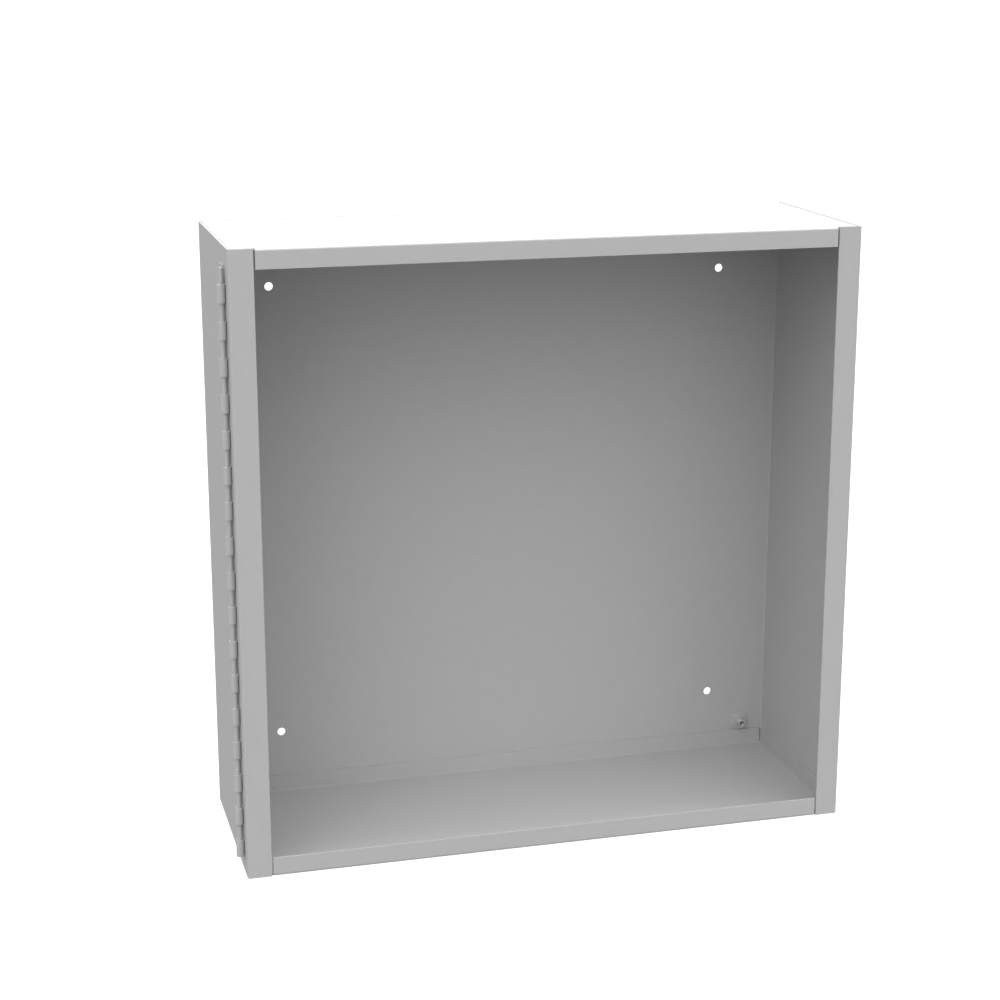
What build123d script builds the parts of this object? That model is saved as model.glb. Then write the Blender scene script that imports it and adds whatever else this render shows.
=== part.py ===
from build123d import *

import os

# Empty back box of a wall-mounted fire alarm control panel, without its door.
# It is a bent wrapper sheet closed by two end pans, with the cabinet's half of a
# continuous hinge on the left wall and one earthing weld nut on the back.
#
# Frame: the origin is the centre of the four wall holes on the back's outer face.
# +X is to the right as one faces the open front, +Y goes into the wall, +Z is up.

IN = 25.4

# Driving dimensions of the sheet metal
SHEET = 1.52                      # 16 gauge steel
CLEAR_WIDTH = 18 * IN             # between the side walls
WIDTH = CLEAR_WIDTH + 2 * SHEET
HEIGHT = 18 * IN
DEPTH = 6 * IN + 2 * SHEET
WALL_BEND = SHEET + IN / 32       # outer bend radius of the wrapper
PAN_BEND = 2.0                    # outer bend radius of the end pans
BEND_CLIP = 1.3                   # a pan's side bends start this far behind its notch
SIDE_FLANGE = 17.6                # front flange of each side wall
PAN_LIP = 14.3                    # height of every flange of the end pans
LIP_END_GAP = 1.2                 # open joint at each end of a pan's front lip
CORNER_RELIEF = 0.5               # open corner between two flanges of a pan

# Wall holes
HOLE_INSET = 2 * IN               # from each outer face to a hole's centre
HOLE_RADIUS = IN / 8

# Continuous hinge, cabinet half
PIN_RADIUS = IN / 16
PIN_CLEARANCE = 0.05              # radial, pin in knuckle
PIN_TOP_DROP = 1.0                # the pin ends this far under the leaf's top
PIN_CHAMFER = 0.35
LEAF_SHEET = 1.27
LEAF_REACH = 0.75 * IN            # from the pin's axis to the leaf's rear edge
NOTCH_LINE = 3.6                  # from the pin's axis to the notched edge
KNUCKLE_PITCH = IN
KNUCKLE_LENGTH = IN / 2
KNUCKLES = 17
CURL_SEAM = 0.2                   # slit where the rolled end meets the leaf
HINGE_SETBACK = 14.0              # from the front face back to the pin's axis
HINGE_LENGTH = KNUCKLES * KNUCKLE_PITCH
KNUCKLE_BORE = PIN_RADIUS + PIN_CLEARANCE
KNUCKLE_RADIUS = KNUCKLE_BORE + LEAF_SHEET
PIN_X = -WIDTH / 2 - KNUCKLE_RADIUS
PIN_Y = -DEPTH + HINGE_SETBACK
HINGE_BOTTOM = -HEIGHT / 2 + IN / 2

# Earthing weld nut on the inside of the back
NUT_X = WIDTH / 2 - 22.4
NUT_Z = -HEIGHT / 2 + 22.3
NUT_BASE_RADIUS = 7.9
NUT_BASE = 1.1
NUT_BARREL_RADIUS = 3.1
NUT_HEIGHT = 9.5
NUT_THREAD_RADIUS = 2.0           # bore of a 10-32 thread
NUT_EDGE = 0.2


def box_between(low, high):
    """A box given by its lowest and highest corners."""
    size = [high[i] - low[i] for i in range(3)]
    centre = [(high[i] + low[i]) / 2 for i in range(3)]
    return Pos(*centre) * Box(*size)


def cabinet_wrapper():
    """Back, side walls and side flanges, bent from one sheet, with the wall holes."""
    outer = RectangleRounded(WIDTH, DEPTH, WALL_BEND)
    inner = RectangleRounded(WIDTH - 2 * SHEET, DEPTH - 2 * SHEET, WALL_BEND - SHEET)
    mouth = Pos(0, -DEPTH / 2) * Rectangle(WIDTH - 2 * SIDE_FLANGE, 4 * SHEET)
    wrapper = Pos(0, -DEPTH / 2, -HEIGHT / 2) * extrude(outer - inner - mouth, HEIGHT)
    for side in (-1, 1):
        for end in (-1, 1):
            x = side * (WIDTH / 2 - HOLE_INSET)
            z = end * (HEIGHT / 2 - HOLE_INSET)
            drill = Cylinder(HOLE_RADIUS, 4 * SHEET, rotation=(90, 0, 0))
            wrapper -= Pos(x, -SHEET / 2, z) * drill
    return wrapper


def tray(half, front, rear, floor, top, bend):
    """A solid tray shape: its bottom edges and its two rear corners are rounded."""
    block = box_between((-half, front, floor), (half, rear, top))
    block = fillet(block.edges().filter_by(Axis.Z).group_by(Axis.Y)[-1], bend)
    return fillet(block.faces().sort_by(Axis.Z)[0].edges(), bend)


def end_pan():
    """A shallow pan that closes the wrapper's bottom end, its flanges turned up."""
    half = WIDTH / 2 - SHEET
    floor = -HEIGHT / 2
    top = floor + PAN_LIP
    pan = tray(half, -DEPTH, -SHEET, floor, top, PAN_BEND)
    pan -= tray(half - SHEET, -DEPTH + SHEET, -2 * SHEET, floor + SHEET, top + SHEET,
                PAN_BEND - SHEET)
    lip_half = WIDTH / 2 - SIDE_FLANGE - LIP_END_GAP
    notch = -DEPTH + PAN_BEND
    bend_start = floor + PAN_BEND
    relief = SHEET + CORNER_RELIEF
    cuts = (
        (lip_half, -DEPTH - 1, floor - 1, notch),
        (half - PAN_BEND, notch - 1, floor - 1, notch + BEND_CLIP),
        (half - relief, notch - 1, bend_start, notch + BEND_CLIP + CORNER_RELIEF),
        (half - relief, -SHEET - relief, bend_start, 0),
    )
    for x, y_low, z_low, y_high in cuts:
        for side in (-1, 1):
            low, high = sorted((side * x, side * (half + 1)))
            pan -= box_between((low, y_low, z_low), (high, y_high, top + 1))
    return pan


def hinge_leaf():
    """The flat strip of the hinge, spot-welded to the left wall."""
    wall = -WIDTH / 2
    return box_between((wall - LEAF_SHEET, PIN_Y + NOTCH_LINE, HINGE_BOTTOM),
                       (wall, PIN_Y + LEAF_REACH, HINGE_BOTTOM + HINGE_LENGTH))


def hinge_knuckle(bottom):
    """One rolled knuckle with the tab that joins it to the strip."""
    ring = Circle(KNUCKLE_RADIUS) - Circle(KNUCKLE_BORE)
    seam_x = KNUCKLE_BORE - CURL_SEAM / 2
    seam = Pos(seam_x, KNUCKLE_RADIUS / 2) * Rectangle(CURL_SEAM, KNUCKLE_RADIUS)
    tab_x = (KNUCKLE_BORE + KNUCKLE_RADIUS) / 2
    tab = Pos(tab_x, NOTCH_LINE / 2) * Rectangle(LEAF_SHEET, NOTCH_LINE)
    return Pos(PIN_X, PIN_Y, bottom) * extrude((ring - seam) + tab, KNUCKLE_LENGTH)


def hinge_pin():
    """The round pin that runs through every knuckle."""
    length = HINGE_LENGTH - PIN_TOP_DROP
    pin = Pos(PIN_X, PIN_Y, HINGE_BOTTOM + length / 2) * Cylinder(PIN_RADIUS, length)
    return chamfer(pin.edges().filter_by(GeomType.CIRCLE), PIN_CHAMFER)


def ground_nut():
    """A round-base weld nut, threaded right through, on the back beside the floor."""
    base = Pos(0, 0, NUT_BASE / 2) * Cylinder(NUT_BASE_RADIUS, NUT_BASE)
    base = fillet(base.edges().sort_by(Axis.Z)[-1], NUT_EDGE)
    barrel = Pos(0, 0, NUT_HEIGHT / 2) * Cylinder(NUT_BARREL_RADIUS, NUT_HEIGHT)
    barrel = fillet(barrel.edges().sort_by(Axis.Z)[-1], NUT_EDGE)
    nut = base + barrel
    bore = Pos(0, 0, NUT_HEIGHT / 2) * Cylinder(NUT_THREAD_RADIUS, NUT_HEIGHT + 2)
    return Pos(NUT_X, -SHEET, NUT_Z) * Rot(90, 0, 0) * (nut - bore)


def build_parts():
    """Every node's name with its solid. The strip's knuckles are counted from below."""
    bottom = end_pan()
    parts = {
        "cabinet_wrapper": cabinet_wrapper(),
        "bottom_end_pan": bottom,
        "top_end_pan": mirror(bottom, Plane.XY),
        "hinge_leaf": hinge_leaf(),
        "hinge_pin": hinge_pin(),
        "ground_nut": ground_nut(),
    }
    for i in range(KNUCKLES):
        parts[f"hinge_knuckle_{i + 1:02d}"] = hinge_knuckle(HINGE_BOTTOM + i * KNUCKLE_PITCH)
    return parts


os.makedirs("parts", exist_ok=True)
for name, shape in build_parts().items():
    export_step(shape, f"parts/{name}.step")
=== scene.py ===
"""Finished look of an open steel back box for a fire alarm control panel.

The box is a bent wrapper sheet closed by two end pans, with the cabinet's half of a
continuous hinge on its left wall and an earthing weld nut on its back. Sizes are in
metres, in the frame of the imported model: the origin is the centre of the four wall
holes on the back's outer face, +X right, +Y into the wall, +Z up.
"""

import logging  # noqa: E402
import math  # noqa: E402
from collections.abc import Callable, Iterable, Sequence  # noqa: E402
from dataclasses import dataclass, field  # noqa: E402
from enum import Enum  # noqa: E402

import bmesh  # noqa: E402
import bpy  # noqa: E402
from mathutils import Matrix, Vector  # noqa: E402

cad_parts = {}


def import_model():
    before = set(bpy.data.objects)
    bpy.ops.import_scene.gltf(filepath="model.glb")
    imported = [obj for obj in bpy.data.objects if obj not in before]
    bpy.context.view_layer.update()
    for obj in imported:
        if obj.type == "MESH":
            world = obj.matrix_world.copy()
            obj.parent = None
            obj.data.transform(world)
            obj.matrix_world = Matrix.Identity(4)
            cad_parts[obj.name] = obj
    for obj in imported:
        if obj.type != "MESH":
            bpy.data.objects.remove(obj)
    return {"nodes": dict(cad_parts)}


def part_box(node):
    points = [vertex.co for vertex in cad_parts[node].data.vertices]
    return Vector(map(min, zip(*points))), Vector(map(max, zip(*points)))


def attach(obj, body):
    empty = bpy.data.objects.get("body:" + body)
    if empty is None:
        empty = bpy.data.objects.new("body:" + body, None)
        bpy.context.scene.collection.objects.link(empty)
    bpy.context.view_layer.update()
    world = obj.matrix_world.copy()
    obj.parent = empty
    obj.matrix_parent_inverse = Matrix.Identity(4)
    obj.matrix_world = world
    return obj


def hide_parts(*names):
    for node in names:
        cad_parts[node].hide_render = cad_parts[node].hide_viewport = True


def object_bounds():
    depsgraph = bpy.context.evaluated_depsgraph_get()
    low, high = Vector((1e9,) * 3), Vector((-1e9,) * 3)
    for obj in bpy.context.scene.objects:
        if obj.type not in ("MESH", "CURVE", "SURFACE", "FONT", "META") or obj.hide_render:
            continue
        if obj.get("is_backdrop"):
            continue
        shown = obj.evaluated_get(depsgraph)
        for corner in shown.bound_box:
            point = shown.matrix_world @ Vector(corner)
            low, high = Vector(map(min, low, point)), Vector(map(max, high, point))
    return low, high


log = logging.getLogger("back_box")

MM = 0.001
IN = 25.4 * MM
SHEET = 1.52 * MM
WELD = 1e-7
SHARP_ANGLE = math.radians(50)
NOISE_LOW, NOISE_HIGH = 0.3, 0.7

Point = tuple[float, float, float]
Plan = tuple[float, float]


class Body(Enum):
    """The moving bodies of the part."""

    CABINET = "cabinet"
    PIN = "hinge_pin"


class Slot(Enum):
    """The record's material slots."""

    WRAPPER = "wrapper_paint"
    PAN = "pan_paint"
    HINGE = "hinge_paint"
    PIN = "pin_paint"
    NUT = "nut_paint"


# ---------------------------------------------------------------- mesh helpers


class Shell:
    """Collects the faces of closed solids and welds them into one mesh."""

    def __init__(self) -> None:
        """Starts with no faces."""
        self.mesh = bmesh.new()

    def face(self, *points: Sequence[float]) -> None:
        """Adds one face.

        Args:
            points: its corners in order, at least three.
        """
        self.mesh.faces.new([self.mesh.verts.new(p) for p in points])

    def cap_open_ends(self) -> None:
        """Closes each loop of edges that has a face on one side only."""
        open_edges = [e for e in self.mesh.edges if e.is_boundary]
        bmesh.ops.holes_fill(self.mesh, edges=open_edges, sides=0)

    def weld(self) -> None:
        """Joins corners that share a place."""
        bmesh.ops.remove_doubles(self.mesh, verts=self.mesh.verts, dist=WELD)

    def to_object(self, name: str) -> bpy.types.Object:
        """Welds the shell and turns it into an object at the origin.

        Args:
            name: the object's name.

        Returns:
            The new object, linked to the scene, its faces pointing outwards.
        """
        self.weld()
        bmesh.ops.recalc_face_normals(self.mesh, faces=self.mesh.faces)
        data = bpy.data.meshes.new(name)
        self.mesh.to_mesh(data)
        self.mesh.free()
        made = bpy.data.objects.new(name, data)
        bpy.context.scene.collection.objects.link(made)
        return made


def bake_modifiers(piece: bpy.types.Object) -> None:
    """Replaces a piece's mesh by what its modifiers make of it, and removes them.

    Args:
        piece: the object, changed in place.
    """
    graph = bpy.context.evaluated_depsgraph_get()
    result = bpy.data.meshes.new_from_object(piece.evaluated_get(graph))
    piece.modifiers.clear()
    old = piece.data
    piece.data = result
    bpy.data.meshes.remove(old)
    piece.data.name = piece.name


def break_edges(piece: bpy.types.Object, width: float, segments: int = 2) -> None:
    """Rounds the cut edges of a piece and gives it clean shading.

    Args:
        piece: the object, changed in place.
        width: the width of the rounding.
        segments: the faces across each rounding.
    """
    piece.data.shade_smooth()
    bevel = piece.modifiers.new("broken_edges", "BEVEL")
    bevel.width = width
    bevel.segments = segments
    bevel.limit_method = "ANGLE"
    bevel.angle_limit = SHARP_ANGLE
    bevel.miter_outer = "MITER_ARC"
    shade = piece.modifiers.new("flat_faces_stay_flat", "WEIGHTED_NORMAL")
    shade.mode = "FACE_AREA"
    shade.weight = 100
    bake_modifiers(piece)


def arc_steps(count: int, sweep: float = math.pi / 2) -> list[float]:
    """Angles from 0 to the sweep in equal steps, both ends included."""
    return [sweep * k / count for k in range(count + 1)]


def lathe(shell: Shell, profile: Sequence[Plan], around: int,
          place: Callable[[float, float, float], Point],
          radius_at: Callable[[float, float, float], float] | None = None,
          closed: bool = True) -> None:
    """Turns a profile round an axis.

    Args:
        shell: takes the faces.
        profile: (along the axis, radius) points; with closed, the last joins the first.
        around: the number of faces round the axis.
        place: turns (along, radius, angle) into a point.
        radius_at: gives the radius for (along, profile radius, angle), as for a thread.
        closed: whether the profile is a closed loop, as of a ring.
    """
    loop = list(profile) + ([profile[0]] if closed else [])
    angles = [2 * math.pi * i / around for i in range(around)] + [0.0]

    def point(along: float, radius: float, angle: float) -> Point:
        """One point of the turned surface."""
        if radius_at is not None:
            radius = radius_at(along, radius, angle)
        return place(along, radius, angle)

    for (a0, r0), (a1, r1) in zip(loop, loop[1:]):
        for t0, t1 in zip(angles, angles[1:]):
            if r0 == 0:
                shell.face(point(a0, r0, t0), point(a1, r1, t1), point(a1, r1, t0))
            elif r1 == 0:
                shell.face(point(a0, r0, t0), point(a0, r0, t1), point(a1, r1, t0))
            else:
                shell.face(point(a0, r0, t0), point(a0, r0, t1),
                           point(a1, r1, t1), point(a1, r1, t0))


# ---------------------------------------------------------------- finishes


class Nodes:
    """A small writer of material node trees."""

    def __init__(self, name: str) -> None:
        """Starts a material with its shader and its object coordinates."""
        self.material = bpy.data.materials.new(name)
        self.material.use_nodes = True
        self.tree = self.material.node_tree
        self.shader = self.tree.nodes["Principled BSDF"]
        self.coordinates = self.tree.nodes.new("ShaderNodeTexCoord").outputs["Object"]

    def link(self, source: bpy.types.NodeSocket, target: bpy.types.NodeSocket) -> None:
        """Joins an output to an input."""
        self.tree.links.new(source, target)

    def noise(self, size: float, detail: float, shift: Point) -> bpy.types.NodeSocket:
        """A noise pattern.

        Args:
            size: the pattern's grain in metres.
            detail: how many finer layers it has.
            shift: moves the pattern, in metres.

        Returns:
            The output with values from 0 to 1.
        """
        mapping = self.tree.nodes.new("ShaderNodeMapping")
        mapping.inputs["Location"].default_value = shift
        mapping.inputs["Scale"].default_value = (1 / size,) * 3
        self.link(self.coordinates, mapping.inputs["Vector"])
        texture = self.tree.nodes.new("ShaderNodeTexNoise")
        texture.inputs["Scale"].default_value = 1.0
        texture.inputs["Detail"].default_value = detail
        self.link(mapping.outputs["Vector"], texture.inputs["Vector"])
        return texture.outputs["Fac"]

    def spread(self, source: bpy.types.NodeSocket, low: float,
               high: float) -> bpy.types.NodeSocket:
        """Maps a noise's usual range to low to high."""
        node = self.tree.nodes.new("ShaderNodeMapRange")
        node.inputs["From Min"].default_value = NOISE_LOW
        node.inputs["From Max"].default_value = NOISE_HIGH
        node.inputs["To Min"].default_value = low
        node.inputs["To Max"].default_value = high
        self.link(source, node.inputs["Value"])
        return node.outputs["Result"]

    def product(self, first: bpy.types.NodeSocket,
                second: bpy.types.NodeSocket) -> bpy.types.NodeSocket:
        """Two values multiplied."""
        node = self.tree.nodes.new("ShaderNodeMath")
        node.operation = "MULTIPLY"
        self.link(first, node.inputs[0])
        self.link(second, node.inputs[1])
        return node.outputs["Value"]

    def tint(self, colour: Point, factor: bpy.types.NodeSocket) -> None:
        """Multiplies a plain colour by a factor and makes it the shader's colour."""
        node = self.tree.nodes.new("ShaderNodeVectorMath")
        node.operation = "SCALE"
        node.inputs[0].default_value = colour
        self.link(factor, node.inputs["Scale"])
        self.link(node.outputs["Vector"], self.shader.inputs["Base Color"])

    def bump(self, height: bpy.types.NodeSocket, depth: float,
             before: bpy.types.NodeSocket | None = None) -> bpy.types.NodeSocket:
        """A bump of that depth in metres.

        Args:
            height: the pattern, 0 to 1.
            depth: how far 1 stands above 0.
            before: the normal of an earlier bump, if there is one.

        Returns:
            The bumped normal.
        """
        node = self.tree.nodes.new("ShaderNodeBump")
        node.inputs["Distance"].default_value = depth
        self.link(height, node.inputs["Height"])
        if before is not None:
            self.link(before, node.inputs["Normal"])
        return node.outputs["Normal"]


@dataclass(frozen=True)
class PowderCoat:
    """Baked powder paint: fine orange peel over slightly uneven sheet."""

    name: str
    tone: float = 0.42
    mottle: float = 0.012
    roughness: float = 0.42
    roughness_spread: float = 0.03
    gloss: float = 0.5
    peel_size: float = 0.9 * MM
    peel_depth: float = 0.010 * MM
    cloud_size: float = 9 * MM
    wave_size: float = 60 * MM
    wave_depth: float = 0.05 * MM
    shift: Point = (0, 0, 0)

    def build(self) -> bpy.types.Material:
        """Makes the material.

        Returns:
            A node material in object coordinates.
        """
        nodes = Nodes(self.name)
        shader = nodes.shader
        shader.inputs["Metallic"].default_value = 0.0
        shader.inputs["Specular IOR Level"].default_value = self.gloss
        peel = nodes.noise(self.peel_size, 2.0, shift=self.shift)
        wave = nodes.noise(self.wave_size, 1.0, shift=self.shift)
        cloud = nodes.noise(self.cloud_size, 3.0, shift=self.shift)
        tone = nodes.product(nodes.spread(cloud, 1 - self.mottle, 1 + self.mottle),
                             nodes.spread(peel, 1 - self.mottle, 1 + self.mottle))
        nodes.tint((self.tone,) * 3, tone)
        nodes.link(nodes.spread(cloud, self.roughness - self.roughness_spread,
                                self.roughness + self.roughness_spread),
                   shader.inputs["Roughness"])
        normal = nodes.bump(wave, self.wave_depth)
        normal = nodes.bump(peel, self.peel_depth, normal)
        nodes.link(normal, shader.inputs["Normal"])
        return nodes.material


def dress(piece: bpy.types.Object, material: bpy.types.Material, body: Body,
          stands_for: Iterable[str]) -> None:
    """Gives a finished piece its material and body, and hides the CAD nodes it stands for.

    Args:
        piece: the finished object, at the origin.
        material: its only material.
        body: the body that it moves with.
        stands_for: the names of the CAD nodes that it replaces.
    """
    piece.data.materials.clear()
    piece.data.materials.append(material)
    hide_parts(*stands_for)
    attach(piece, body.value)
    log.info("%s: %d faces on %s", piece.name, len(piece.data.polygons), body.value)


# ---------------------------------------------------------------- sub-assemblies


@dataclass
class CabinetWrapper:
    """Back, side walls and side front flanges, bent from one sheet."""

    low: Vector
    high: Vector
    bend: float = SHEET + IN / 32
    flange: float = 17.6 * MM
    hole_inset: float = 2 * IN
    hole_radius: float = IN / 8
    collar: float = 12 * MM
    bend_steps: int = 10
    hole_steps: int = 8
    edge: float = 0.12 * MM

    def section(self) -> list[tuple[Plan, Plan]]:
        """The bent section seen from above.

        Returns:
            Pairs of an outer and an inner point, from one flange's edge round the back
            to the other's, with the breaks that the holes need along the back.
        """
        half, front, rear = self.high.x, self.low.y, self.high.y
        radius, inner = self.bend, self.bend - SHEET
        edge_x = half - self.flange
        hole_x = half - self.hole_inset
        right = [((edge_x, front), (edge_x, front + SHEET))]
        bends = ((half - radius, front + radius, -math.pi / 2),
                 (half - radius, rear - radius, 0.0))
        for x, y, start in bends:
            for turn in arc_steps(self.bend_steps):
                c, s = math.cos(start + turn), math.sin(start + turn)
                right.append(((x + radius * c, y + radius * s), (x + inner * c, y + inner * s)))
        for x in (hole_x + self.collar, hole_x - self.collar):
            right.append(((x, rear), (x, rear - SHEET)))
        left = [((-a[0], a[1]), (-b[0], b[1])) for a, b in reversed(right)]
        return right + left

    def levels(self) -> list[float]:
        """The heights at which the section's faces are divided."""
        hole_z = self.high.z - self.hole_inset
        low = [self.low.z, -hole_z - self.collar, -hole_z + self.collar]
        return low + [-z for z in reversed(low)]

    def holed_cell(self, shell: Shell, x_low: float, z_low: float) -> None:
        """One square of the back with a round hole in its middle.

        Args:
            shell: takes the faces.
            x_low: the square's left side.
            z_low: the square's lower side.
        """
        side, rear = 2 * self.collar, self.high.y
        x, z = x_low + self.collar, z_low + self.collar
        corners = [(x_low + side, z_low + side), (x_low, z_low + side),
                   (x_low, z_low), (x_low + side, z_low)]
        for quarter in range(4):
            rim = []
            for turn in arc_steps(self.hole_steps):
                angle = math.pi / 4 + quarter * math.pi / 2 + turn
                rim.append((x + self.hole_radius * math.cos(angle),
                            z + self.hole_radius * math.sin(angle)))
            outline = [corners[quarter], *rim, corners[(quarter + 1) % 4]]
            for y in (rear, rear - SHEET):
                shell.face(*[(px, y, pz) for px, pz in outline])
            for (x0, z0), (x1, z1) in zip(rim, rim[1:]):
                shell.face((x0, rear, z0), (x1, rear, z1),
                           (x1, rear - SHEET, z1), (x0, rear - SHEET, z0))

    def is_holed(self, outer: Plan, after: Plan, z_low: float, z_high: float) -> bool:
        """Whether the cell between two section points and two levels holds a hole."""
        on_back = outer[1] == after[1] == self.high.y
        square = math.isclose(abs(outer[0] - after[0]), 2 * self.collar, rel_tol=1e-4)
        return on_back and square and math.isclose(z_high - z_low, 2 * self.collar, rel_tol=1e-4)

    def build(self) -> bpy.types.Object:
        """Makes the wrapper.

        Returns:
            One closed solid.
        """
        shell, section, levels = Shell(), self.section(), self.levels()
        for (a, b), (c, d) in zip(section, section[1:]):
            for z0, z1 in zip(levels, levels[1:]):
                if self.is_holed(a, c, z0, z1):
                    self.holed_cell(shell, min(a[0], c[0]), z0)
                    continue
                for p, q in ((a, c), (b, d)):
                    shell.face((*p, z0), (*q, z0), (*q, z1), (*p, z1))
            for z in (levels[0], levels[-1]):
                shell.face((*a, z), (*c, z), (*d, z), (*b, z))
        for a, b in (section[0], section[-1]):
            for z0, z1 in zip(levels, levels[1:]):
                shell.face((*a, z0), (*b, z0), (*b, z1), (*a, z1))
        piece = shell.to_object("wrapper_sheet")
        break_edges(piece, self.edge)
        return piece


@dataclass
class EndPan:
    """A shallow folded pan that closes one end of the wrapper."""

    low: Vector
    high: Vector
    top: bool
    bend: float = 2.0 * MM
    side_flange: float = 17.6 * MM
    lip_end_gap: float = 1.2 * MM
    bend_clip: float = 1.3 * MM
    relief: float = 0.5 * MM
    bend_steps: int = 8
    edge: float = 0.12 * MM
    shell: Shell = field(default_factory=Shell)

    def place(self, x: float, y: float, up: float) -> Point:
        """A point at a height above the pan's outer face, turned over for the top."""
        return (x, y, self.high.z - up) if self.top else (x, y, self.low.z + up)

    def stations(self) -> list[tuple[Plan, Plan]]:
        """(out, up) of the outer and the inner face along a bend."""
        inner = self.bend - SHEET
        found = []
        for turn in arc_steps(self.bend_steps):
            s, c = math.sin(turn), math.cos(turn)
            found.append(((self.bend * s, self.bend * (1 - c)),
                          (inner * s, self.bend - inner * c)))
        return found

    def flange(self, line: Sequence[Plan], out: Plan, covered: range,
               open_ends: Sequence[int]) -> None:
        """A bend with the straight flange that stands on it.

        Args:
            line: plan points along the bend's start, where the plate ends.
            out: the plan direction in which the bend leaves the plate.
            covered: the stretches of the line that the straight flange stands on.
            open_ends: indices of the line's ends that show the sheet's cut edge.
        """
        shell, steps = self.shell, self.stations()
        height = self.high.z - self.low.z

        def at(p: Plan, station: Plan) -> Point:
            """A point of the flange over a plan point."""
            return self.place(p[0] + out[0] * station[0], p[1] + out[1] * station[0], station[1])

        for p, q in zip(line, line[1:]):
            for first, second in zip(steps, steps[1:]):
                for a, b in zip(first, second):
                    shell.face(at(p, a), at(q, a), at(q, b), at(p, b))
        for i in open_ends:
            for (a, b), (c, d) in zip(steps, steps[1:]):
                shell.face(at(line[i], a), at(line[i], c), at(line[i], d), at(line[i], b))
        outer, inner = steps[-1]
        outer_top, inner_top = (outer[0], height), (inner[0], height)
        for i, (p, q) in enumerate(zip(line, line[1:])):
            if i not in covered:
                shell.face(at(p, outer), at(q, outer), at(q, inner), at(p, inner))
                continue
            shell.face(at(p, outer), at(q, outer), at(q, outer_top), at(p, outer_top))
            shell.face(at(p, inner), at(q, inner), at(q, inner_top), at(p, inner_top))
            shell.face(at(p, outer_top), at(q, outer_top), at(q, inner_top), at(p, inner_top))
        for p in (line[covered.start], line[covered.stop]):
            shell.face(at(p, outer), at(p, outer_top), at(p, inner_top), at(p, inner))

    def ball_corner(self, centre: Plan, side: int) -> None:
        """The rounded corner between the side bend and the rear bend.

        Args:
            centre: the plan point where both bends start.
            side: 1 for the right corner, -1 for the left one.
        """
        steps = self.stations()
        turns = arc_steps(self.bend_steps // 2)

        def at(turn: float, station: Plan) -> Point:
            """A point of the corner at an angle from the side wall to the back."""
            return self.place(centre[0] + side * station[0] * math.cos(turn),
                              centre[1] + station[0] * math.sin(turn), station[1])

        for t, u in zip(turns, turns[1:]):
            for first, second in zip(steps, steps[1:]):
                for a, b in zip(first, second):
                    ring = [at(t, a), at(u, a), at(u, b), at(t, b)]
                    self.shell.face(*(ring[1:] if a[0] == 0 else ring))
            outer, inner = steps[-1]
            self.shell.face(at(t, outer), at(u, outer), at(u, inner), at(t, inner))

    def build(self, name: str) -> bpy.types.Object:
        """Makes the pan.

        Args:
            name: the piece's name.

        Returns:
            One closed solid.
        """
        half, front, rear = self.high.x, self.low.y, self.high.y
        side_x, rear_y, bend_y = half - self.bend, rear - self.bend, front + self.bend
        lip_x = half + SHEET - self.side_flange - self.lip_end_gap
        relief = SHEET + self.relief
        clip_y = bend_y + self.bend_clip
        side_line = [(side_x, clip_y), (side_x, clip_y + self.relief),
                     (side_x, rear - relief), (side_x, rear_y)]
        rear_line = [(side_x, rear_y), (half - relief, rear_y),
                     (relief - half, rear_y), (-side_x, rear_y)]
        left_line = [(-x, y) for x, y in side_line]
        front_line = [(lip_x, bend_y), (-lip_x, bend_y)]
        self.flange(front_line, (0, -1), range(0, 1), (0, 1))
        self.flange(side_line, (1, 0), range(1, 2), (0,))
        self.flange(left_line, (-1, 0), range(1, 2), (0,))
        self.flange(rear_line, (0, 1), range(1, 2), ())
        for side in (1, -1):
            self.ball_corner((side * side_x, rear_y), side)
            cut = [(side * lip_x, bend_y), (side * side_x, bend_y), (side * side_x, clip_y)]
            for p, q in zip(cut, cut[1:]):
                self.shell.face(self.place(*p, 0), self.place(*q, 0),
                                self.place(*q, SHEET), self.place(*p, SHEET))
        outline = [(lip_x, bend_y), (side_x, bend_y), *side_line, *rear_line[1:3],
                   *reversed(left_line), (-side_x, bend_y), (-lip_x, bend_y)]
        for up in (0, SHEET):
            self.shell.face(*[self.place(x, y, up) for x, y in outline])
        piece = self.shell.to_object(name)
        break_edges(piece, self.edge)
        return piece


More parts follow.
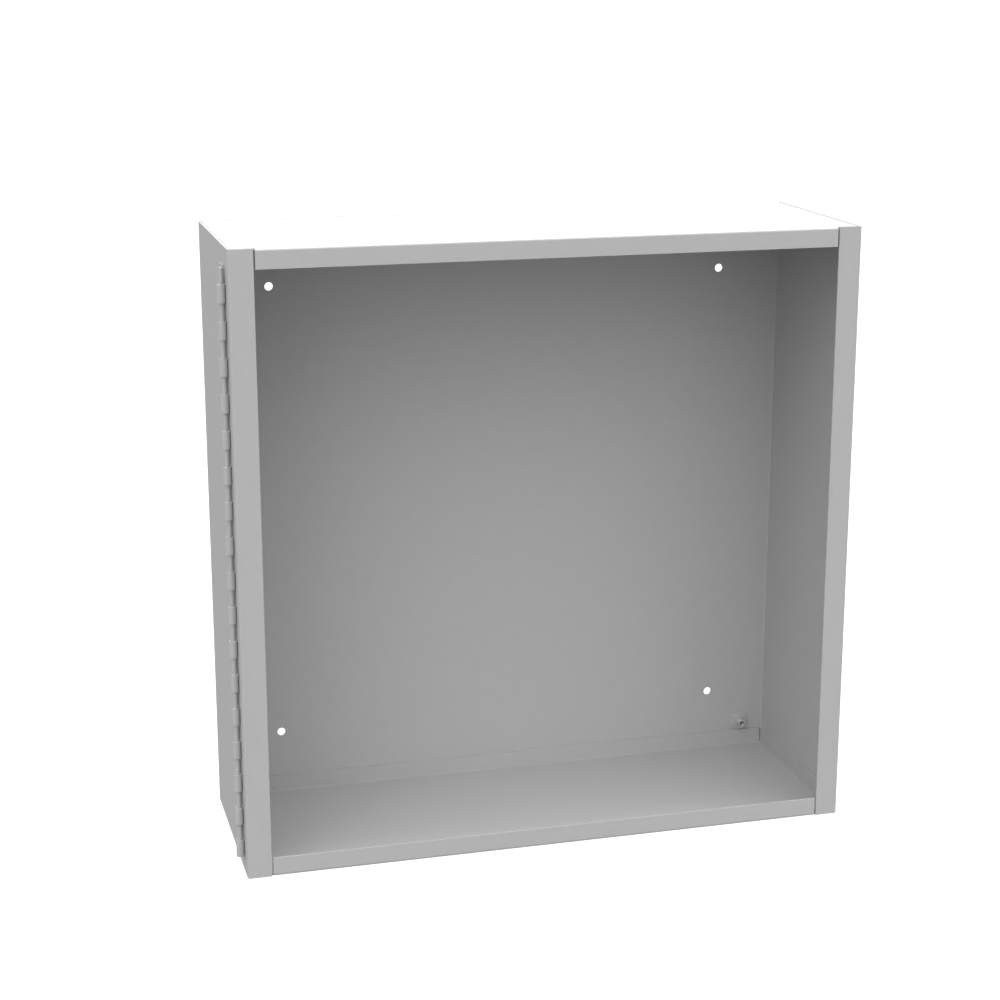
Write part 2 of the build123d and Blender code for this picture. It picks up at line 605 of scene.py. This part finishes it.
@dataclass
class HingeStrip:
    """The cabinet's half of a continuous hinge: a strip with rolled knuckles."""

    low: Vector
    high: Vector
    pin_x: float
    pin_y: float
    knuckles: int = 17
    pitch: float = IN
    knuckle: float = IN / 2
    bore: float = IN / 16 + 0.05 * MM
    gauge: float = 1.27 * MM
    slit: float = 0.2 * MM
    curl_steps: int = 40
    weld: float = 1e-6
    edge: float = 0.12 * MM

    def curl(self) -> list[tuple[Plan, Plan]]:
        """Outer and inner points of the tab and the roll, seen from above."""
        outer_radius = self.bore + self.gauge
        slit_x = self.bore - self.slit
        outer_end = 2 * math.pi - math.acos(slit_x / outer_radius)
        inner_end = 2 * math.pi - math.acos(slit_x / self.bore)
        notch = self.low.y
        found = [((self.pin_x + self.bore, notch), (self.pin_x + outer_radius, notch))]
        for k in range(self.curl_steps + 1):
            share = k / self.curl_steps
            inner_turn, outer_turn = -inner_end * share, -outer_end * share
            inner = (self.pin_x + self.bore * math.cos(inner_turn),
                     self.pin_y + self.bore * math.sin(inner_turn))
            outer = (self.pin_x + outer_radius * math.cos(outer_turn),
                     self.pin_y + outer_radius * math.sin(outer_turn))
            found.append((inner, outer))
        return found

    def one_pitch(self) -> Shell:
        """One knuckle, one gap and their stretch of strip, open at both ends.

        Returns:
            The faces from the strip's lower end up to the next knuckle.
        """
        shell = Shell()
        z0 = self.low.z
        z1, z2 = z0 + self.knuckle, z0 + self.pitch
        for low, high in ((z0, z1), (z1, z2)):
            for x in (self.low.x, self.high.x):
                shell.face((x, self.low.y, low), (x, self.high.y, low),
                           (x, self.high.y, high), (x, self.low.y, high))
            shell.face((self.low.x, self.high.y, low), (self.high.x, self.high.y, low),
                       (self.high.x, self.high.y, high), (self.low.x, self.high.y, high))
        shell.face((self.low.x, self.low.y, z1), (self.high.x, self.low.y, z1),
                   (self.high.x, self.low.y, z2), (self.low.x, self.low.y, z2))
        curl = self.curl()
        for (a, b), (c, d) in zip(curl, curl[1:]):
            for p, q in ((a, c), (b, d)):
                shell.face((*p, z0), (*q, z0), (*q, z1), (*p, z1))
            for z in (z0, z1):
                shell.face((*a, z), (*b, z), (*d, z), (*c, z))
        a, b = curl[-1]
        shell.face((*a, z0), (*b, z0), (*b, z1), (*a, z1))
        return shell

    def repeat_tree(self, material: bpy.types.Material) -> bpy.types.NodeTree:
        """A node group that repeats a stretch of hinge along its height.

        Args:
            material: the finish that the result gets.

        Returns:
            The group, with the inputs Count, Pitch and Weld distance.
        """
        tree = bpy.data.node_groups.new("repeat_hinge_pitch", "GeometryNodeTree")
        face = tree.interface
        face.new_socket("Geometry", in_out="INPUT", socket_type="NodeSocketGeometry")
        face.new_socket("Count", in_out="INPUT", socket_type="NodeSocketInt")
        face.new_socket("Pitch", in_out="INPUT", socket_type="NodeSocketFloat")
        face.new_socket("Weld distance", in_out="INPUT", socket_type="NodeSocketFloat")
        face.new_socket("Geometry", in_out="OUTPUT", socket_type="NodeSocketGeometry")
        new, join = tree.nodes.new, tree.links.new
        given, result = new("NodeGroupInput"), new("NodeGroupOutput")
        step = new("ShaderNodeCombineXYZ")
        row = new("GeometryNodeMeshLine")
        copies = new("GeometryNodeInstanceOnPoints")
        real = new("GeometryNodeRealizeInstances")
        weld = new("GeometryNodeMergeByDistance")
        paint = new("GeometryNodeSetMaterial")
        paint.inputs["Material"].default_value = material
        join(given.outputs["Pitch"], step.inputs["Z"])
        join(given.outputs["Count"], row.inputs["Count"])
        join(step.outputs["Vector"], row.inputs["Offset"])
        join(row.outputs["Mesh"], copies.inputs["Points"])
        join(given.outputs["Geometry"], copies.inputs["Instance"])
        join(copies.outputs["Instances"], real.inputs["Geometry"])
        join(real.outputs["Geometry"], weld.inputs["Geometry"])
        join(given.outputs["Weld distance"], weld.inputs["Distance"])
        join(weld.outputs["Geometry"], paint.inputs["Geometry"])
        join(paint.outputs["Geometry"], result.inputs["Geometry"])
        return tree

    def build(self, material: bpy.types.Material) -> bpy.types.Object:
        """Makes the strip.

        Args:
            material: its finish.

        Returns:
            One closed solid with all its knuckles.
        """
        piece = self.one_pitch().to_object("hinge_strip")
        tree = self.repeat_tree(material)
        repeat = piece.modifiers.new("repeat", "NODES")
        repeat.node_group = tree
        values = {"Count": self.knuckles, "Pitch": self.pitch, "Weld distance": self.weld}
        for item in tree.interface.items_tree:
            if item.in_out == "INPUT" and item.name in values:
                repeat[item.identifier] = values[item.name]
        bake_modifiers(piece)
        closed = Shell()
        closed.mesh.from_mesh(piece.data)
        closed.weld()
        closed.cap_open_ends()
        bmesh.ops.recalc_face_normals(closed.mesh, faces=closed.mesh.faces)
        closed.mesh.to_mesh(piece.data)
        closed.mesh.free()
        break_edges(piece, self.edge)
        return piece


@dataclass
class HingePin:
    """The round pin through the knuckles, chamfered at both ends."""

    low: Vector
    high: Vector
    chamfer: float = 0.35 * MM
    around: int = 48
    rings: int = 12
    edge: float = 0.06 * MM

    def build(self) -> bpy.types.Object:
        """Makes the pin.

        Returns:
            One closed solid.
        """
        x, y = (self.low.x + self.high.x) / 2, (self.low.y + self.high.y) / 2
        radius = (self.high.x - self.low.x) / 2
        z0, z1, cut = self.low.z, self.high.z, self.chamfer
        body = [(z0 + cut + (z1 - z0 - 2 * cut) * k / self.rings, radius)
                for k in range(self.rings + 1)]
        profile = [(z0, 0.0), (z0, radius - cut), *body, (z1, radius - cut), (z1, 0.0)]

        def place(along: float, out: float, turn: float) -> Point:
            """A point about the pin's upright axis."""
            return (x + out * math.cos(turn), y + out * math.sin(turn), along)

        shell = Shell()
        lathe(shell, profile, self.around, place, closed=False)
        piece = shell.to_object("hinge_wire")
        break_edges(piece, self.edge)
        return piece


@dataclass
class GroundNut:
    """A round-base weld nut with a cut thread, standing on the inside of the back."""

    low: Vector
    high: Vector
    base: float = 1.1 * MM
    barrel_radius: float = 3.1 * MM
    corner: float = 0.2 * MM
    root: float = 0.12 * MM
    minor_radius: float = 2.0 * MM
    major_radius: float = 2.38 * MM
    pitch: float = IN / 32
    thread_steepness: float = 1.35
    thread_flat: float = 0.1
    sink_turns: float = 0.35
    sink_depth: float = 0.25
    crease: float = math.radians(40)
    steps_per_pitch: int = 8
    around: int = 48

    def outline(self, height: float, base_radius: float) -> list[Plan]:
        """(height, radius) from the seat over the disc and the barrel to its mouth."""
        found = [(0.0, base_radius)]
        for turn in arc_steps(5):
            found.append((self.base - self.corner * (1 - math.sin(turn)),
                          base_radius - self.corner * (1 - math.cos(turn))))
        for turn in arc_steps(4):
            found.append((self.base + self.root * (1 - math.cos(turn)),
                          self.barrel_radius + self.root * (1 - math.sin(turn))))
        for turn in arc_steps(5):
            found.append((height - self.corner * (1 - math.sin(turn)),
                          self.barrel_radius - self.corner * (1 - math.cos(turn))))
        return found

    def thread_depth(self, along: float, turn: float) -> float:
        """How far the thread is cut at a height and an angle, from 0 to 1."""
        phase = (along / self.pitch - turn / (2 * math.pi)) % 1.0
        flank = self.thread_steepness * (1 - abs(2 * phase - 1))
        return min(1.0, max(0.0, flank - self.thread_flat))

    def build(self) -> bpy.types.Object:
        """Makes the nut.

        Returns:
            One closed solid.
        """
        height, base_radius = self.high.y - self.low.y, (self.high.x - self.low.x) / 2
        x, z = (self.low.x + self.high.x) / 2, (self.low.z + self.high.z) / 2
        seat = self.high.y
        rows = round(height / self.pitch * self.steps_per_pitch)
        bore = [(height * (1 - k / rows), self.minor_radius) for k in range(rows + 1)]

        def place(along: float, out: float, turn: float) -> Point:
            """A point about the nut's axis, which stands out of the back."""
            return (x + out * math.cos(turn), seat - along, z + out * math.sin(turn))

        def radius_at(along: float, out: float, turn: float) -> float:
            """The radius, deepened in the bore by the thread and the countersink."""
            if out > self.minor_radius:
                return out
            cut = self.thread_depth(along, turn)
            sink = max(0.0, 1 - (height - along) / (self.sink_turns * self.pitch))
            deepest = self.major_radius - self.minor_radius
            return out + deepest * max(cut, self.sink_depth * sink)

        shell = Shell()
        lathe(shell, self.outline(height, base_radius) + bore, self.around, place, radius_at)
        piece = shell.to_object("earth_nut")
        piece.data.shade_smooth()
        piece.data.set_sharp_from_angle(angle=self.crease)
        return piece


# ---------------------------------------------------------------- studio


@dataclass(frozen=True)
class SoftLight:
    """A wide, even light far away, placed by its direction from the object."""

    name: str
    azimuth: float
    elevation: float
    spread: float
    strength: float
    distance: float = 3.0

    def build(self) -> None:
        """Adds the light; azimuth 0 is in front, 90 on the right, all in degrees."""
        data = bpy.data.lights.new(self.name, "SUN")
        data.energy = self.strength
        data.angle = math.radians(self.spread)
        made = bpy.data.objects.new(self.name, data)
        turn, tilt = math.radians(self.azimuth), math.radians(self.elevation)
        towards = Vector((math.sin(turn) * math.cos(tilt), -math.cos(turn) * math.cos(tilt),
                          math.sin(tilt)))
        made.location = towards * self.distance
        made.rotation_mode = "QUATERNION"
        made.rotation_quaternion = (-towards).to_track_quat("-Z", "Y")
        bpy.context.scene.collection.objects.link(made)


@dataclass
class Studio:
    """A plain pale floor, soft light and the camera."""

    eye: Point = (-0.4130, -1.5401, 0.4263)
    azimuth: float = -15.025
    elevation: float = 14.985
    lens: float = 74.93
    floor_size: float = 120.0
    floor_tone: float = 0.15
    floor_glow: float = 1.0
    sky_above: float = 0.79
    sky_below: float = 0.42
    horizon: float = 0.1
    lights: tuple[SoftLight, ...] = (
        SoftLight("key_above_front", 0, 60, 75, 0.64),
        SoftLight("above_right", 60, 55, 60, 0.94),
        SoftLight("above_left", -60, 60, 60, 1.20),
        SoftLight("front_left", -38, 20, 40, 0.33),
        SoftLight("front_low", 0, 15, 60, 0.19),
        SoftLight("left_side", -100, 25, 40, 0.21),
        SoftLight("above_right_rear", 120, 76, 28, 3.25),
    )

    def camera(self) -> None:
        """Makes the scene's camera."""
        data = bpy.data.cameras.new("camera")
        data.lens = self.lens
        data.clip_start = 0.05
        data.clip_end = self.floor_size
        made = bpy.data.objects.new("camera", data)
        turn, tilt = math.radians(self.azimuth), math.radians(self.elevation)
        back = Vector((math.sin(turn) * math.cos(tilt), -math.cos(turn) * math.cos(tilt),
                       math.sin(tilt)))
        made.location = self.eye
        made.rotation_mode = "QUATERNION"
        made.rotation_quaternion = (-back).to_track_quat("-Z", "Y")
        bpy.context.scene.collection.objects.link(made)
        bpy.context.scene.camera = made

    def floor(self, height: float) -> None:
        """Makes the floor at a height; it neither shades the object nor lights it.

        Args:
            height: where the object stands.
        """
        shell = Shell()
        half = self.floor_size / 2
        shell.face((-half, -half, height), (half, -half, height),
                   (half, half, height), (-half, half, height))
        floor = shell.to_object("floor")
        nodes = Nodes("pale_floor")
        nodes.shader.inputs["Roughness"].default_value = 0.9
        nodes.shader.inputs["Specular IOR Level"].default_value = 0.1
        nodes.shader.inputs["Base Color"].default_value = (*(self.floor_tone,) * 3, 1)
        nodes.shader.inputs["Emission Color"].default_value = (1, 1, 1, 1)
        nodes.shader.inputs["Emission Strength"].default_value = self.floor_glow
        floor.data.materials.append(nodes.material)
        floor.visible_diffuse = floor.visible_glossy = floor.visible_shadow = False
        floor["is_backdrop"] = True

    def sky_light(self) -> None:
        """Makes the even light all round, dimmer from below than from above."""
        world = bpy.data.worlds.new("studio")
        world.use_nodes = True
        tree = world.node_tree
        direction = tree.nodes.new("ShaderNodeTexCoord").outputs["Generated"]
        parts = tree.nodes.new("ShaderNodeSeparateXYZ")
        level = tree.nodes.new("ShaderNodeMapRange")
        level.interpolation_type = "SMOOTHSTEP"
        level.inputs["From Min"].default_value = -self.horizon
        level.inputs["From Max"].default_value = self.horizon
        level.inputs["To Min"].default_value = self.sky_below
        level.inputs["To Max"].default_value = self.sky_above
        tree.links.new(direction, parts.inputs["Vector"])
        tree.links.new(parts.outputs["Z"], level.inputs["Value"])
        background = tree.nodes["Background"]
        background.inputs["Color"].default_value = (1, 1, 1, 1)
        tree.links.new(level.outputs["Result"], background.inputs["Strength"])
        bpy.context.scene.world = world

    def build(self, floor_height: float) -> None:
        """Makes the whole studio and sets the picture's tone.

        Args:
            floor_height: where the object stands.
        """
        self.camera()
        self.floor(floor_height)
        self.sky_light()
        for light in self.lights:
            light.build()
        bpy.context.scene.view_settings.view_transform = "Standard"


# ---------------------------------------------------------------- assembly


def hinge_nodes(nodes: Iterable[str]) -> list[str]:
    """The CAD nodes that the hinge strip stands for: the leaf and its knuckles."""
    return sorted(n for n in nodes if n == "hinge_leaf" or n.startswith("hinge_knuckle"))


def main() -> None:
    """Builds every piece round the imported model."""
    logging.basicConfig(level=logging.INFO)
    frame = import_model()
    cad_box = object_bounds()

    coat = PowderCoat("wrapper_powder_coat").build()
    wrapper = CabinetWrapper(*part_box("cabinet_wrapper")).build()
    dress(wrapper, coat, Body.CABINET, ["cabinet_wrapper"])

    for end, shift in (("top", (0.3, 0.1, 0.7)), ("bottom", (0.9, 0.5, 0.2))):
        node = f"{end}_end_pan"
        pan = EndPan(*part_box(node), top=end == "top").build(f"{end}_pan_sheet")
        paint = PowderCoat(f"{end}_pan_powder_coat", shift=shift).build()
        dress(pan, paint, Body.CABINET, [node])

    pin_low, pin_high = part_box("hinge_pin")
    hinge_paint = PowderCoat("hinge_powder_coat", wave_depth=0.0, shift=(0.4, 0.4, 0.1)).build()
    strip = HingeStrip(*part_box("hinge_leaf"), pin_x=(pin_low.x + pin_high.x) / 2,
                       pin_y=(pin_low.y + pin_high.y) / 2).build(hinge_paint)
    dress(strip, hinge_paint, Body.CABINET, hinge_nodes(frame["nodes"]))

    pin = HingePin(pin_low, pin_high).build()
    wire_paint = PowderCoat("wire_powder_coat", wave_depth=0.0, shift=(0.6, 0.3, 0.5)).build()
    dress(pin, wire_paint, Body.PIN, ["hinge_pin"])

    nut = GroundNut(*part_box("ground_nut")).build()
    nut_paint = PowderCoat("nut_powder_coat", wave_depth=0.0, shift=(0.2, 0.8, 0.6)).build()
    dress(nut, nut_paint, Body.CABINET, ["ground_nut"])

    Studio().build(cad_box[0].z)


if __name__ == "__main__":
    main()
